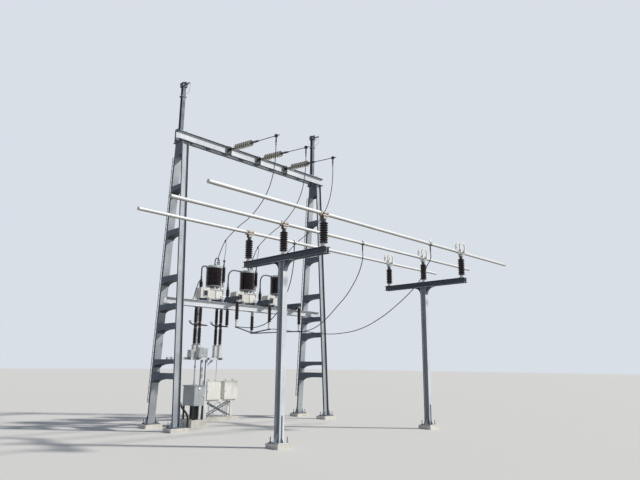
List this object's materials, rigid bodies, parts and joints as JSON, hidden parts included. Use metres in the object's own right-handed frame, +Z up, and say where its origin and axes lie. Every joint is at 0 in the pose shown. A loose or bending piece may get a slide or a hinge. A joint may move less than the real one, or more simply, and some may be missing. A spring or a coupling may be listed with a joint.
{
  "type": "substation switchgear bay",
  "caption": "Open-air line bay: steel A-frame gantry with disc strings, tubular busbars on T supports, porcelain switchgear poles and control cabinets.",
  "frame": {"origin": "ground level under the middle of the bay's footprint", "axes": "+X along the busbars, +Y from the busbars to the gantry and the cabinets, +Z up"},
  "size_m": [14, 9.23, 12.8286],
  "materials": {
    "galvanised": "matt hot-dip galvanised steel",
    "concrete": "rough cast concrete",
    "brown_porcelain": "brown glazed porcelain",
    "pale_porcelain": "pale glazed porcelain with dark caps",
    "dark_iron": "weathered cast iron",
    "rusty_iron": "cast iron with a film of rust",
    "aluminium": "weathered aluminium",
    "conductor": "weathered stranded aluminium",
    "cream_paint": "satin cream paint",
    "grey_paint": "satin grey paint",
    "white_paint": "satin off-white paint"
  },
  "bodies": {
    "bay": {"gantry_pads": "concrete", "support_pads": "concrete", "yard_pads": "concrete", "near_legs": "galvanised", "far_legs": "galvanised", "leg_feet": "galvanised", "leg_battens": "galvanised", "leg_heads": "galvanised", "climbing_rails": "galvanised", "beam_front_channel": "galvanised", "beam_back_channel": "galvanised", "beam_battens": "galvanised", "earth_wire_masts": "galvanised", "mast_fittings": "dark_iron", "string_a": "pale_porcelain", "string_b": "pale_porcelain", "string_c": "pale_porcelain", "string_links": "dark_iron", "dead_end_clamps": "dark_iron", "line_dropper_a": "conductor", "line_dropper_b": "conductor", "line_dropper_c": "conductor", "support_posts": "galvanised", "support_arms": "galvanised", "support_gussets": "galvanised", "busbar_insulators": "brown_porcelain", "fixed_clamps": "rusty_iron", "clamp_sleeves": "cream_paint", "expansion_clamps": "dark_iron", "expansion_loops": "aluminium", "busbar_tubes": "aluminium", "tap_clamps": "rusty_iron", "busbar_dropper_a": "conductor", "busbar_dropper_b": "conductor", "busbar_dropper_c": "conductor", "equipment_beam": "galvanised", "pole_brackets": "galvanised", "pole_housings": "cream_paint", "pole_bases": "aluminium", "pole_barrels": "brown_porcelain", "pole_caps": "aluminium", "surge_arresters": "brown_porcelain", "jumper_pipes": "aluminium", "pipe_insulators": "brown_porcelain", "hanging_insulators": "brown_porcelain", "lower_conductors": "aluminium", "mechanism_frame": "galvanised", "switch_columns": "brown_porcelain", "switch_contacts": "rusty_iron", "mechanism_boxes": "grey_paint", "drive_pipe": "galvanised", "cabinet_stand": "galvanised", "kiosk_legs": "dark_iron", "cabinet_a": "white_paint", "cabinet_b": "white_paint", "kiosk": "grey_paint"},
    "cabinet_a_door": {"cabinet_a_door": "white_paint"},
    "cabinet_b_door": {"cabinet_b_door": "white_paint"},
    "kiosk_door": {"kiosk_door": "grey_paint"}
  },
  "joints": [
    {"name": "cabinet_a_door_hinge", "type": "hinge", "parent": "bay", "child": "cabinet_a_door", "pos_m": [-0.21, 4.251, 1.13], "axis": [0, 0, 1], "range_deg": [0, 100]},
    {"name": "cabinet_b_door_hinge", "type": "hinge", "parent": "bay", "child": "cabinet_b_door", "pos_m": [0.605, 4.251, 1.13], "axis": [0, 0, 1], "range_deg": [0, 100]},
    {"name": "kiosk_door_hinge", "type": "hinge", "parent": "bay", "child": "kiosk_door", "pos_m": [-2.44, 2.701, 1.045], "axis": [0, 0, -1], "range_deg": [0, 100]}
  ]
}
